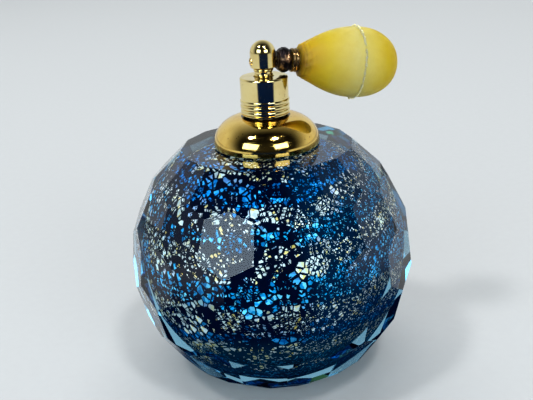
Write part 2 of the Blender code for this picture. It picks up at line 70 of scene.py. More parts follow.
# Bottle
CORE_LOW, CORE_HIGH = span("foil_core")
CORE_RADIUS = (CORE_HIGH[0] - CORE_LOW[0]) / 2
CORE_CENTRE_Z = CORE_LOW[2] + CORE_RADIUS
BALL_CENTRE_Z = 39.0
NECK_LOW, NECK_HIGH = span("glass_neck")
NECK_RADIUS = NECK_HIGH[0]
NECK_BORE_RADIUS = 3.2
NECK_GAP = 0.3                 # between the glass neck and the pieces round it
WELL_RADIUS = 14.0
WELL_FLOOR_Z = 18.0
WELL_CORNER = 4.0
WELL_SHOULDER_Z = 46.0
WELL_SIDES = 160
TABLE_Z = span("glass_casing")[1][2]
FACET_DISTANCE = 44.7
FACETS_PER_ROW = 16
FACET_ROWS = 6
TOP_ROW_LATITUDE = math.radians(46)
ROW_STEP = math.radians(20)
FUSED_DEPTH = 0.7              # how far the casing's inner wall lies inside the core's skin
EDGE_SOFTNESS = 0.09           # polish on the facet edges

# Metalwork on the neck
DOME_LOW, DOME_HIGH = span("shoulder_dome")
DOME_RADIUS = DOME_HIGH[0]
DOME_WIDEST_Z = DOME_LOW[2] + 1.0
DOME_SHOULDER_RADIUS = 7.2
DOME_WALL = 0.9
DOME_HOLE = 5.7
DOME_FOOT_EASE = 0.35
CEMENT_BORE_RADIUS = 4.7
SEAL_BORE_RADIUS = 3.5         # of the gasket and of the slip washer
FERRULE_HOLE_RADIUS = 3.5
FERRULE_FLANGE = 0.8
FERRULE_STEPS = 70
THREAD_ROOT = 5.4
THREAD_DEPTH = 0.4
THREAD_PITCH = 1.5
THREAD_FOOT_Z = 86.4
COLLAR_LOW, COLLAR_HIGH = span("screw_collar")
COLLAR_RADIUS = 7.45
COLLAR_BORE_RADIUS = 6.9
COLLAR_HOLE_RADIUS = 3.15
COLLAR_LIP = 1.1
RIB_HEIGHT = 0.2
RIB_HALF = 0.68
RIBS = (86.6, 88.2, 89.8)
LINER_WALL = 0.25
LINER_CREST_RADIUS = 6.1
LINER_STEPS = 80

# Spray head
STEM_LOW, STEM_HIGH = span("head_stem")
STEM_FLANGE_Z = 94.7
STEM_FLANGE_THICKNESS = 1.1
STEM_FLANGE_RADIUS = 5.8
STEM_SPIGOT_RADIUS = 2.9
STEM_SOCKET_RADIUS = 2.5       # the socket that holds the dip tube's bush
STEM_SOCKET_TOP_Z = 93.5
STEM_TIP_RADIUS = 1.2
STEM_BORE_RADIUS = 0.8
STEM_NECK_RADIUS = 2.75
STEM_BEAD_RADIUS = 3.1
STEM_BEAD_HALF = 0.45
HEAD_LOW, HEAD_HIGH = span("spray_head")
HEAD_RADIUS = -HEAD_LOW[0]
HEAD_FLAT_X = HEAD_HIGH[0]
JET_Z = 101.85
JET_RADIUS = 1.2
JET_HOLE_RADIUS = 0.3
TUBE_BORE_RADIUS = 0.75
BUSH_BORE_RADIUS = 1.45

# Squeeze bulb: distances along the drooping arm from the head's flat
ARM_ROOT, ARM_WAY = joint_axis("bulb_unscrew")
ARM_START = -1.5
ARM_END = 2.3
ARM_RADIUS = 1.0
ARM_BORE_RADIUS = 0.5
ARM_PITCH = 0.7
ARM_THREAD_DEPTH = 0.3
ARM_STEPS = 48
WASHER_START = 0.3
WASHER_END = 0.65
WASHER_RADII = (1.4, 2.6)
NUT_START = 0.95
NUT_END = 4.7
NUT_RADIUS = 3.95
NUT_SWELL = 2.9                # half length that the nut would have without its two flat faces
NUT_CHAMBER = 2.6
NUT_CHAMBER_RADIUS = 2.5
NUT_BORE_RADIUS = 1.6
NUT_STEPS = 40
NUT_LUMPS = 0.20
RING_START = 5.0
RING_END = 7.1
RING_RADIUS = 3.3
RING_BEAD_RADIUS = 3.65
BULB_NECK_RADIUS = 2.9
BULB_SHOULDER = 7.5
BULB_SHOULDER_RADIUS = 5.3
BULB_RADIUS = 11.2
BULB_WIDEST = 25.7
BULB_END = 39.75
BULB_FULLNESS = 2.3
BULB_WALL = 1.6
BULB_BORE_RADIUS = 1.9
BULB_PUCKER = 8.8              # where along the arm the neck's puckers are deepest
BULB_DENTS = 0.16
BULB_SINK = 0.22               # how far the rubber has shrunk under its widest radius
SEAM_SIDES = 480
SEAM_FOOT = 0.5

SIDES = 128
FINE_SIDES = 96
SHARP = math.radians(38)


# ---- surfaces

def arc(centre, radii, start, end, steps):
    """Points on an ellipse: centre plus radii times the cosine and sine of even angles in degrees."""
    angle = np.radians(np.linspace(start, end, steps + 1))
    return np.stack([centre[0] + radii[0] * np.cos(angle), centre[1] + radii[1] * np.sin(angle)], axis=1)


def outline(*parts):
    """One outline from single points and runs of points, joined end to end."""
    return np.vstack([np.atleast_2d(np.asarray(part, dtype=float)) for part in parts])


def straight(radius, start, end, count):
    """A straight wall as a run of points, close enough together to carry a thread."""
    return np.stack([np.full(count, radius), np.linspace(start, end, count)], axis=1)


def ring_section(inner, outer, low, high):
    """The four corners of a plain ring's section."""
    return np.array([(inner, low), (outer, low), (outer, high), (inner, high)])


def eased(points, reach=0.12, steps=3):
    """A closed outline with its corners eased: each corner becomes the quadratic curve
    (1-t)^2 A + 2t(1-t) P + t^2 B, where A and B lie on its two sides, at most reach from the corner P."""
    before = np.roll(points, 1, axis=0) - points
    after = np.roll(points, -1, axis=0) - points
    sides = [np.linalg.norm(way, axis=1, keepdims=True) for way in (before, after)]
    near = points + before * np.minimum(reach / sides[0], 0.45)
    far = points + after * np.minimum(reach / sides[1], 0.45)
    t = np.linspace(0, 1, steps + 1)[None, :, None]
    curve = (1 - t) ** 2 * near[:, None] + 2 * t * (1 - t) * points[:, None] + t ** 2 * far[:, None]
    return curve.reshape(-1, 2)


def turned(points, sides=SIDES):
    """A lathe grid: each outline point (r, z) goes round as (r cos a, r sin a, z)."""
    angle = np.linspace(0, 2 * math.pi, sides, endpoint=False)
    radius, height = points[:, :1], points[:, 1:]
    return np.stack([radius * np.cos(angle), radius * np.sin(angle), height + 0 * angle], axis=2)


def laid_along(grid, place, way):
    """A grid whose own Z becomes a direction in the XZ plane, from a place: p + x (Y x way) + y Y + z way."""
    side = np.array([0.0, 1.0, 0.0])
    down = np.cross(side, way)
    return place + grid[..., :1] * down + grid[..., 1:2] * side + grid[..., 2:] * way


def on_arm(grid):
    return laid_along(grid, ARM_ROOT, ARM_WAY)


def piece(name, grid, material, body, nodes=(), closed=True):
    """A closed mesh from a grid of points: columns go round, and closed joins the last row to the first.

    A row whose points all meet becomes one pole.  The signed volume, a sixth of the sum of v0 . (v1 x v2)
    over the triangles, tells whether the faces point outwards.
    """
    rows, sides = grid.shape[:2]
    index = np.arange(rows * sides).reshape(rows, sides)
    pole = np.ptp(grid, axis=1).max(axis=1) < 1e-6
    index[pole] = index[pole, :1]
    lower = index if closed else index[:-1]
    upper = np.roll(index, -1, axis=0) if closed else index[1:]
    quads = np.stack([lower, np.roll(lower, -1, 1), np.roll(upper, -1, 1), upper], axis=2).reshape(-1, 4)
    low_pole = quads[:, 0] == quads[:, 1]
    high_pole = quads[:, 2] == quads[:, 3]
    whole = quads[~low_pole & ~high_pole]
    corners = np.vstack([quads[low_pole & ~high_pole][:, [0, 2, 3]], quads[high_pole & ~low_pole][:, :3]])
    used, places = np.unique(np.concatenate([whole.ravel(), corners.ravel()]), return_inverse=True)
    points = grid.reshape(-1, 3)[used]
    whole = places[: whole.size].reshape(-1, 4)
    corners = places[whole.size:].reshape(-1, 3)
    halves = np.vstack([whole[:, :3], whole[:, [0, 2, 3]], corners])
    a, b, c = (points[halves[:, side]] for side in range(3))
    if np.einsum("ij,ij->", a, np.cross(b, c)) < 0:
        whole = whole[:, ::-1]
        corners = corners[:, ::-1]
    return finished(name, points, whole.tolist() + corners.tolist(), material, body, nodes)


def finished(name, points, faces, material, body, nodes=(), sharp=SHARP):
    """A mesh object from points in millimetres, tied to its body and the nodes it stands for."""
    mesh = bpy.data.meshes.new(name)
    mesh.from_pydata((points * MM).tolist(), [], faces)
    mesh.update()
    mesh.materials.append(material)
    if sharp is not None:
        mesh.shade_smooth()
        mesh.set_sharp_from_angle(angle=sharp)
    made = bpy.data.objects.new(name, mesh)
    bpy.context.collection.objects.link(made)
    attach(made, body)
    if nodes:
        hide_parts(*nodes)
    return made


def waves(angle, counts, seed):
    """An uneven ripple round a circle: a sum of cosines with drawn strengths and phases."""
    draw = np.random.default_rng(seed)
    strength = draw.uniform(0.4, 1.0, len(counts))
    phase = draw.uniform(0, 2 * math.pi, len(counts))
    total = sum(s * np.cos(n * angle + p) for s, n, p in zip(strength, counts, phase))
    return total / strength.sum()


# ---- material helpers

def node(tree, kind, inputs=None, **settings):
    """One shader node; inputs gives each socket a value or the output that feeds it."""
    made = tree.nodes.new("ShaderNode" + kind)
    for name, value in settings.items():
        setattr(made, name, value)
    for key, value in (inputs or {}).items():
        if isinstance(value, bpy.types.NodeSocket):
            tree.links.new(value, made.inputs[key])
        else:
            made.inputs[key].default_value = value
    return made


def maths(tree, operation, first, second):
    return node(tree, "Math", {0: first, 1: second}, operation=operation).outputs[0]


def times(tree, first, second):
    return maths(tree, "MULTIPLY", first, second)


def less(tree, first, second):
    return maths(tree, "SUBTRACT", first, second)


def line(tree, value, factor, offset):
    """A value times a factor, plus an offset."""
    return node(tree, "Math", {0: value, 1: factor, 2: offset}, operation="MULTIPLY_ADD").outputs[0]


def vector_maths(tree, operation, first, second=(0.0, 0.0, 0.0)):
    made = node(tree, "VectorMath", {0: first, 1: second}, operation=operation)
    return made.outputs["Value" if operation in ("DOT_PRODUCT", "LENGTH") else "Vector"]


def scaled(tree, vector, factor):
    return node(tree, "VectorMath", {0: vector, "Scale": factor}, operation="SCALE").outputs[0]


def ranged(tree, value, low, high, new_low=0.0, new_high=1.0, smooth=True):
    """A value's part of the way from low to high, clamped and carried to a new range."""
    inputs = {"Value": value, "From Min": low, "From Max": high, "To Min": new_low, "To Max": new_high}
    return node(tree, "MapRange", inputs, interpolation_type="SMOOTHSTEP" if smooth else "LINEAR").outputs[0]


def mixed(tree, factor, first, second):
    """Two colours mixed by a factor."""
    made = node(tree, "Mix", data_type="RGBA")
    for socket, value in ((made.inputs[0], factor), (made.inputs[6], first), (made.inputs[7], second)):
        if isinstance(value, bpy.types.NodeSocket):
            tree.links.new(value, socket)
        else:
            socket.default_value = (*value, 1.0) if isinstance(value, tuple) else value
    return made.outputs[2]


def ramp(tree, factor, stops):
    """A colour ramp from (place, colour) stops."""
    made = node(tree, "ValToRGB", {0: factor})
    band = made.color_ramp
    while len(band.elements) < len(stops):
        band.elements.new(1.0)
    for element, (place, colour) in zip(band.elements, stops):
        element.position = place
        element.color = (*colour, 1.0)
    return made.outputs[0]


def noise(tree, vector, scale, detail=3.0, roughness=0.5, output="Fac"):
    inputs = {"Vector": vector, "Scale": scale, "Detail": detail, "Roughness": roughness}
    return node(tree, "TexNoise", inputs).outputs[output]


def voronoi(tree, vector, scale, feature="F1"):
    return node(tree, "TexVoronoi", {"Vector": vector, "Scale": scale}, feature=feature)


def bumped(tree, height, strength, distance):
    inputs = {"Height": height, "Strength": strength, "Distance": distance}
    return node(tree, "Bump", inputs).outputs[0]


def new_material(name, **constants):
    """A material with its tree, shader and object coordinates; constants go on the shader's own sockets."""
    material = bpy.data.materials.new(name)
    material.use_nodes = True
    tree = material.node_tree
    shader = tree.nodes["Principled BSDF"]
    for key, value in constants.items():
        shader.inputs[key.replace("_", " ")].default_value = value
    return material, tree, shader, node(tree, "TexCoord").outputs["Object"]


def feed(tree, shader, **outputs):
    for key, value in outputs.items():
        tree.links.new(value, shader.inputs[key.replace("_", " ")])


# ---- shared effects

def new_group(name, numbers, results):
    """A group with a Vector input, numbered inputs with their usual values and named outputs."""
    tree = bpy.data.node_groups.new(name, "ShaderNodeTree")
    tree.interface.new_socket("Vector", in_out="INPUT", socket_type="NodeSocketVector")
    for title, value in numbers.items():
        tree.interface.new_socket(title, in_out="INPUT", socket_type="NodeSocketFloat").default_value = value
    for title, kind in results.items():
        tree.interface.new_socket(title, in_out="OUTPUT", socket_type="NodeSocket" + kind)
    return tree, tree.nodes.new("NodeGroupInput").outputs, tree.nodes.new("NodeGroupOutput").inputs


def wear_group():
    """Patches, specks and hair scratches over a handled surface, each as a mask from 0 to 1."""
    tree, given, put = new_group(
        "handled_surface", {"Patch Scale": 90.0, "Speck Scale": 900.0, "Speck Amount": 0.2},
        {"Patches": "Float", "Specks": "Float", "Scratches": "Float"})
    vector = given["Vector"]
    patches = ranged(tree, noise(tree, vector, given["Patch Scale"], 4.0, 0.6), 0.35, 0.7)
    cells = voronoi(tree, vector, given["Speck Scale"])
    drawn = node(tree, "SeparateColor", {0: cells.outputs["Color"]}).outputs[0]
    few = maths(tree, "LESS_THAN", drawn, given["Speck Amount"])
    small = ranged(tree, cells.outputs["Distance"], 0.34, 0.2)
    specks = times(tree, few, small)
    stretched = vector_maths(tree, "MULTIPLY", vector, (1.0, 1.0, 9.0))
    scratches = ranged(tree, noise(tree, stretched, 420.0, 5.0, 0.7), 0.56, 0.7)
    for name, value in (("Patches", patches), ("Specks", specks), ("Scratches", scratches)):
        tree.links.new(value, put[name])
    return tree


def crackle_group():
    """Metal leaf torn into flakes as the hot glass swelled: the cells of a bent Voronoi pattern, shrunk from
    their borders and, outside a few calm patches, cracked again by a finer pattern.  Gives the flake mask,
    two drawn values and the middle of each flake."""
    tree, given, put = new_group(
        "crackled_leaf", {"Scale": 25.0, "Gap": 0.1, "Missing": 0.1, "Bend": 0.02, "Calm": 0.62},
        {"Flake": "Float", "Drawn": "Float", "Second": "Float", "Middle": "Vector"})
    vector, scale = given["Vector"], given["Scale"]
    wobble = noise(tree, vector, times(tree, scale, 1.6), 2.0, 0.6, output="Color")
    centred = vector_maths(tree, "SUBTRACT", wobble, (0.5, 0.5, 0.5))
    bent = vector_maths(tree, "ADD", vector, scaled(tree, centred, given["Bend"]))

    def torn(size):
        cells = voronoi(tree, bent, size)
        drawn = node(tree, "SeparateColor", {0: cells.outputs["Color"]}).outputs
        border = voronoi(tree, bent, size, "DISTANCE_TO_EDGE").outputs["Distance"]
        edge = times(tree, maths(tree, "ADD", maths(tree, "POWER", drawn[2], 2.0), 0.45), given["Gap"])
        whole = maths(tree, "GREATER_THAN", border, edge)
        kept = maths(tree, "GREATER_THAN", drawn[0], given["Missing"])
        return times(tree, whole, kept), drawn, cells

    large, drawn, cells = torn(scale)
    small, second, _ = torn(times(tree, scale, 1.9))
    calm = maths(tree, "GREATER_THAN", noise(tree, vector, 3.5, 2.0), given["Calm"])
    flake = times(tree, large, maths(tree, "MAXIMUM", small, calm))
    for name, value in (("Flake", flake), ("Drawn", second[1]), ("Second", drawn[1]),
                        ("Middle", cells.outputs["Position"])):
        tree.links.new(value, put[name])
    return tree


def place_group(tree, group, **inputs):
    named = {key.replace("_", " "): value for key, value in inputs.items()}
    return node(tree, "Group", named, node_tree=group).outputs


HANDLED = wear_group()
CRACKLE = crackle_group()


# ---- materials

def crystal_material():
    """Clear crystal with a faint uneven polish and a few finger marks, blue-green where it is deep."""
    material, tree, shader, place = new_material(
        "cut_crystal", Base_Color=(0.97, 0.985, 0.99, 1.0), Transmission_Weight=1.0, IOR=1.52,
        Specular_IOR_Level=0.42)
    marks = ranged(tree, noise(tree, place, 60.0, 4.0, 0.6), 0.52, 0.75, 0.0, 0.035)
    polish = noise(tree, place, 45.0, 2.0, 0.5)
    feed(tree, shader, Roughness=marks, Normal=bumped(tree, polish, 0.02, 0.0004))
    depth = node(tree, "VolumeAbsorption", {"Color": (0.02, 0.60, 0.80, 1.0), "Density": 17.0})
    tree.links.new(depth.outputs[0], tree.nodes["Material Output"].inputs["Volume"])
    return material


METAL, BLUE = 0.0, 1.0
LEAF_BANDS = (                 # from the foot up: where a band ends, its leaf, its light and its cyan share
    (0.12, BLUE, 0.40, 0.7), (0.22, METAL, 0.55, 0.0), (0.29, BLUE, 0.60, 0.3), (0.39, METAL, 0.70, 0.0),
    (0.55, BLUE, 0.95, 0.8), (0.67, METAL, 1.00, 0.0), (0.76, BLUE, 1.00, 0.8), (0.82, METAL, 1.00, 0.0),
    (0.92, BLUE, 1.00, 0.2), (1.00, METAL, 0.95, 0.0))
BAND_BLUR = 0.008
METAL_LEAF = ((0.0, (0.72, 0.72, 0.70)), (0.62, (0.98, 0.96, 0.90)), (0.80, (0.95, 0.82, 0.50)),
              (1.0, (0.98, 0.66, 0.14)))
DEEP_BLUE_LEAF = ((0.0, (0.0, 0.06, 0.28)), (0.5, (0.0, 0.20, 0.70)), (1.0, (0.01, 0.42, 0.95)))
CYAN_LEAF = ((0.0, (0.0, 0.18, 0.42)), (0.6, (0.02, 0.54, 0.92)), (1.0, (0.36, 0.88, 0.98)))
FINE_SIDE = (0.985, 0.174, 0.0)  # towards the bulb, where the leaf is cracked finely
BAND_CLIMB = (0.057, -0.029, 0.0)


def band_stops():
    """Two ramp stops for each band, a little in from its ends, that hold leaf, light and cyan share."""
    stops, start = [], 0.0
    for end, *held in LEAF_BANDS:
        stops += [(start + BAND_BLUR, held), (end - BAND_BLUR, held)]
        start = end
    return stops


def foil_material():
    """Navy glass with crackled leaf in bands of blue, silver and gold that climb on one side of the ball.

    The leaf is fine on the bulb's side and coarse on the other, chosen flake by flake near the change.
    """
    material, tree, shader, place = new_material("crackled_foil_glass", Specular_IOR_Level=0.0)
    centred = vector_maths(tree, "SUBTRACT", place, (0.0, 0.0, float(CORE_CENTRE_Z * MM)))
    ball = vector_maths(tree, "MULTIPLY", centred, (1 / (CORE_RADIUS * MM),) * 3)
    ball_height = node(tree, "SeparateXYZ", {0: ball}).outputs[2]
    fine_side = ranged(tree, vector_maths(tree, "DOT_PRODUCT", ball, FINE_SIDE), -0.25, 0.05)
    coarse = place_group(tree, CRACKLE, Vector=ball, Scale=13.5, Gap=0.16, Missing=0.16, Bend=0.02, Calm=0.56)
    fine = place_group(tree, CRACKLE, Vector=ball, Scale=24.0, Gap=0.17, Missing=0.14, Bend=0.01, Calm=0.60)
    chosen = maths(tree, "GREATER_THAN", fine_side, line(tree, coarse["Second"], 0.8, 0.1))

    def leaf(output, kind):
        first, second, result = (4, 5, 1) if kind == "VECTOR" else (2, 3, 0)
        inputs = {"Factor": chosen, first: coarse[output], second: fine[output]}
        return node(tree, "Mix", inputs, data_type=kind).outputs[result]

    flake, drawn, second = (leaf(output, "FLOAT") for output in ("Flake", "Drawn", "Second"))
    middle = leaf("Middle", "VECTOR")
    height = node(tree, "SeparateXYZ", {0: middle}).outputs[2]
    drift = times(tree, less(tree, noise(tree, middle, 2.4, 2.0), 0.5), 0.20)
    climb = vector_maths(tree, "DOT_PRODUCT", middle, BAND_CLIMB)
    ragged = times(tree, less(tree, second, 0.5), 0.07)
    level = maths(tree, "ADD", less(tree, height, climb), maths(tree, "ADD", drift, ragged))
    bands = ramp(tree, ranged(tree, level, -1.0, 1.0, smooth=False), band_stops())
    kind, light, cyan_share = node(tree, "SeparateColor", {0: bands}).outputs
    blue_leaf = mixed(tree, cyan_share, ramp(tree, drawn, DEEP_BLUE_LEAF), ramp(tree, drawn, CYAN_LEAF))
    leaf_colour = mixed(tree, kind, ramp(tree, drawn, METAL_LEAF), blue_leaf)
    # painted glint: each flake gets a drawn brightness from 0.8 to 1.45, for flakes turned more or less to
    # the light, times its band's light
    band_light_and_glint = times(tree, light, ranged(tree, second, 0.0, 1.0, 0.80, 1.45, smooth=False))
    lit_leaf = scaled(tree, leaf_colour, band_light_and_glint)
    ground = mixed(tree, noise(tree, ball, 3.0, 3.0), (0.0, 0.0012, 0.011), (0.0, 0.006, 0.024))
    ground = mixed(tree, fine_side, ground, (0.0, 0.018, 0.048))
    ground = mixed(tree, ranged(tree, ball_height, -0.35, -0.85), ground, (0.0, 0.034, 0.062))
    feed(tree, shader, Base_Color=mixed(tree, flake, ground, lit_leaf),
         Roughness=ranged(tree, flake, 0.0, 1.0, 0.5, 0.32, smooth=False),
         Metallic=times(tree, flake, 0.05), Normal=bumped(tree, times(tree, flake, band_light_and_glint), 0.25, 0.0002))
    return material


def brass_material(name, colour, deep, roughness, specks, recess=False):
    """Polished brass: darker lacquer patches, sparse dark specks, hair scratches, and, with recess, painted
    shade where the dome ends under the collar."""
    material, tree, shader, place = new_material(name, Metallic=1.0)
    wear = place_group(
        tree, HANDLED, Vector=place, Patch_Scale=150.0, Speck_Scale=1500.0, Speck_Amount=specks)
    tone = mixed(tree, times(tree, wear["Patches"], 0.55), colour, deep)
    specks_and_recess_shade = mixed(tree, times(tree, wear["Specks"], 0.8), tone, (0.06, 0.035, 0.02))
    # painted shade: inside the collar's radius the dome is darkened, as if the collar shaded it
    if recess:
        across = vector_maths(tree, "LENGTH", vector_maths(tree, "MULTIPLY", place, (1.0, 1.0, 0.0)))
        painted_collar_shade = ranged(tree, across, (COLLAR_RADIUS + 0.5) * MM, (COLLAR_RADIUS - 0.1) * MM)
        specks_and_recess_shade = mixed(tree, painted_collar_shade, specks_and_recess_shade, (0.02, 0.014, 0.008))
    rough = line(tree, wear["Patches"], 0.05, line(tree, wear["Scratches"], 0.10, roughness))
    height = less(tree, 0.0, maths(tree, "MAXIMUM", wear["Scratches"], wear["Specks"]))
    feed(tree, shader, Base_Color=specks_and_recess_shade, Roughness=rough, Normal=bumped(tree, height, 0.06, 0.0001))
    return material


def tarnished_material():
    """Brass gone nearly black, rubbed back to peach gold on its high lumps."""
    material, tree, shader, place = new_material("tarnished_brass", Metallic=1.0)
    wear = place_group(tree, HANDLED, Vector=place, Patch_Scale=300.0, Speck_Scale=1300.0, Speck_Amount=0.2)
    pointed = node(tree, "NewGeometry").outputs["Pointiness"]
    high = ranged(tree, pointed, 0.52, 0.60)
    rubbed = times(tree, wear["Patches"], ranged(tree, noise(tree, place, 200.0), 0.52, 0.62))
    worn = maths(tree, "MAXIMUM", times(tree, high, 0.3), rubbed)
    colour = mixed(tree, worn, (0.018, 0.014, 0.016), (0.60, 0.36, 0.20))
    feed(tree, shader, Base_Color=colour, Roughness=ranged(tree, worn, 0.0, 1.0, 0.42, 0.22),
         Normal=bumped(tree, noise(tree, place, 900.0, 4.0), 0.25, 0.0002))
    return material


def ferrule_material():
    """Old dark brass, rubbed bright in patches."""
    material, tree, shader, place = new_material("rubbed_brass", Metallic=1.0)
    wear = place_group(tree, HANDLED, Vector=place, Patch_Scale=300.0, Speck_Scale=1500.0, Speck_Amount=0.25)
    tone = mixed(tree, wear["Patches"], (0.42, 0.28, 0.12), (0.10, 0.06, 0.03))
    colour = mixed(tree, wear["Specks"], tone, (0.03, 0.02, 0.012))
    feed(tree, shader, Base_Color=colour, Roughness=ranged(tree, wear["Patches"], 0.0, 1.0, 0.16, 0.34),
         Normal=bumped(tree, wear["Scratches"], 0.08, 0.0001))
    return material


def arm_distance(tree, place):
    """How far a point lies along the drooping arm, in millimetres."""
    root = tuple(float(value) for value in ARM_ROOT * MM)
    way = tuple(float(value) for value in ARM_WAY / MM)
    return vector_maths(tree, "DOT_PRODUCT", vector_maths(tree, "SUBTRACT", place, root), way)


# the paler, less saturated middle stops are a painted sheen
RUBBER_TONES_AND_SHEEN = (               # from the puckered neck to the far end
    (0.0, (0.10, 0.055, 0.002)), (0.08, (0.26, 0.165, 0.001)), (0.24, (0.31, 0.235, 0.012)),
    (0.50, (0.32, 0.275, 0.090)), (0.66, (0.32, 0.260, 0.050)), (0.80, (0.30, 0.220, 0.003)),
    (1.0, (0.29, 0.195, 0.001)))


def rubber_material(name, seam):
    """Aged yellow rubber: ochre at the puckered neck and far end, paler in the middle as a painted sheen,
    mottled and matt.
    """
    material, tree, shader, place = new_material(
        name, Subsurface_Weight=0.75, Subsurface_Scale=0.006, Subsurface_Radius=(1.0, 0.75, 0.3),
        Specular_IOR_Level=0.25)
    along = arm_distance(tree, place)
    drift = times(tree, less(tree, noise(tree, place, 120.0), 0.5), 5.0)
    where = ranged(tree, maths(tree, "ADD", along, drift), BULB_SHOULDER, BULB_END, smooth=False)
    # painted sheen: the ramp is paler in the middle of the bulb
    tone = ramp(tree, where, RUBBER_TONES_AND_SHEEN)
    mottle = ranged(tree, noise(tree, place, 380.0, 5.0, 0.65), 0.35, 0.7)
    colour = mixed(tree, times(tree, mottle, 0.22), tone, (0.24, 0.18, 0.02))
    grime = ranged(tree, noise(tree, place, 70.0, 4.0, 0.6), 0.55, 0.8)
    colour = mixed(tree, times(tree, grime, 0.22), colour, (0.21, 0.17, 0.04))
    if seam:
        colour = mixed(tree, ranged(tree, mottle, 0.0, 1.0, 0.5, 0.95), colour, (0.34, 0.31, 0.20))
    grain = noise(tree, place, 1400.0, 4.0, 0.6)
    feed(tree, shader, Base_Color=colour, Roughness=ranged(tree, mottle, 0.0, 1.0, 0.46, 0.62),
         Normal=bumped(tree, grain, 0.12, 0.0002))
    return material


def plain_material(name, colour, dark, roughness, metallic=0.0, scale=500.0, **constants):
    """A small fitting's finish: one tone drifting to a darker one, with a matching uneven polish."""
    material, tree, shader, place = new_material(name, Metallic=metallic, **constants)
    drift = noise(tree, place, scale, 4.0, 0.6)
    tone = mixed(tree, ranged(tree, drift, 0.35, 0.7), colour, dark)
    feed(tree, shader, Base_Color=tone, Roughness=ranged(tree, drift, 0.3, 0.7, roughness, roughness + 0.12),
         Normal=bumped(tree, drift, 0.08, 0.0001))
    return material


# ---- bottle

def facet_corner(upper, lower, lone):
    """The (r, z) place where one facet of a row meets two of the next, from the two plane equations
    r cos(latitude) cos(turn) + z sin(latitude) = distance, with the turn of half a facet for the pair."""
    half = math.cos(math.pi / FACETS_PER_ROW)
    top, bottom = TOP_ROW_LATITUDE - ROW_STEP * upper, TOP_ROW_LATITUDE - ROW_STEP * lower
    turn_top, turn_bottom = (1.0, half) if lone == "upper" else (half, 1.0)
    planes = np.array([[math.cos(top) * turn_top, math.sin(top)],
                       [math.cos(bottom) * turn_bottom, math.sin(bottom)]])
    return np.linalg.solve(planes, [FACET_DISTANCE, FACET_DISTANCE])


def level_ring(row, height):
    """Corners of a flat cut at a height across a row, at the radius
    (distance - z sin(latitude)) / (cos(latitude) cos(turn)), with the turn of half a facet."""
    latitude = TOP_ROW_LATITUDE - ROW_STEP * row
    radius = FACET_DISTANCE - height * math.sin(latitude)
    return np.array([radius / (math.cos(latitude) * math.cos(math.pi / FACETS_PER_ROW)), height])


def crystal_casing(material):
    """A ball cut into staggered rows of flat facets, with a flat table and base, round a hidden inner wall.

    Between two rows runs a ring of corners, two for each facet, which lie by turns high and low.
    """
    double = 2 * FACETS_PER_ROW
    step = np.arange(double)
    angle = step * 2 * math.pi / double
    rings = []
    for row in range(FACET_ROWS - 1):
        kinds = np.array([facet_corner(row, row + 1, "upper"), facet_corner(row, row + 1, "lower")])
        rings.append(kinds[(step + row) % 2])
    table = np.repeat(level_ring(0, TABLE_Z - BALL_CENTRE_Z)[None], double, 0)
    base = np.repeat(level_ring(FACET_ROWS - 1, -BALL_CENTRE_Z)[None], double, 0)
    rings = np.stack([table, *rings, base])
    points = np.stack([rings[..., 0] * np.cos(angle), rings[..., 0] * np.sin(angle),
                       rings[..., 1] + BALL_CENTRE_Z], axis=2)
    index = np.arange(points.shape[0] * double).reshape(points.shape[0], double)
    faces = []
    for row in range(FACET_ROWS):
        middle = step[step % 2 == row % 2]
        before, after = (middle - 1) % double, (middle + 1) % double
        above, below = index[row], index[row + 1]
        corners = [above[after], above[middle], above[before], below[before], below[middle], below[after]]
        if row == 0:
            corners.pop(1)
        if row == FACET_ROWS - 1:
            corners.pop(-2)
        faces += np.stack(corners, axis=1).tolist()
    odd = step[step % 2 == 1]
    last = step[(step + FACET_ROWS - 1) % 2 == 1]
    faces.append(index[-1][last][::-1].tolist())

    wall = CORE_RADIUS - FUSED_DEPTH
    sleeve = (NECK_RADIUS + NECK_BORE_RADIUS) / 2
    start = math.degrees(math.acos(sleeve / wall))
    inner = outline((sleeve, TABLE_Z), arc((0.0, CORE_CENTRE_Z), (wall, wall), start, -90, 12)[:-1])
    inside = turned(inner, double)[:, odd]
    ring = np.arange(inside.shape[0] * len(odd)).reshape(inside.shape[0], len(odd)) + points.shape[0] * double
    pole = ring[-1, -1] + 1
    lower, upper = ring[:-1], ring[1:]
    quads = np.stack([lower, np.roll(lower, -1, 1), np.roll(upper, -1, 1), upper], axis=2)
    faces += quads.reshape(-1, 4).tolist()
    faces += np.stack([ring[-1], np.roll(ring[-1], -1), np.full(len(odd), pole)], axis=1).tolist()
    rim = index[0][odd]
    faces += np.stack([rim, np.roll(rim, -1), np.roll(ring[0], -1), ring[0]], axis=1).tolist()

    bottom = np.array([[0.0, 0.0, CORE_CENTRE_Z - wall]])
    every = np.vstack([points.reshape(-1, 3), inside.reshape(-1, 3), bottom])
    used, places = np.unique(np.concatenate([np.array(face) for face in faces]), return_inverse=True)
    counts = np.cumsum([len(face) for face in faces])[:-1]
    faces = [part.tolist() for part in np.split(places, counts)]
    made = finished(
        "crystal_casing", every[used], faces, material, "bottle", ["glass_casing"], sharp=None)
    edges = np.empty(len(made.data.edges) * 2, dtype=int)
    made.data.edges.foreach_get("vertices", edges)
    outer = (used[edges.reshape(-1, 2)] < points.shape[0] * double).all(axis=1)
    weights = made.data.attributes.new("bevel_weight_edge", "FLOAT", "EDGE")
    weights.data.foreach_set("value", outer.astype(float))
    soft = made.modifiers.new("polished_edges", "BEVEL")
    soft.width = EDGE_SOFTNESS * MM
    soft.segments = 2
    soft.limit_method = "WEIGHT"


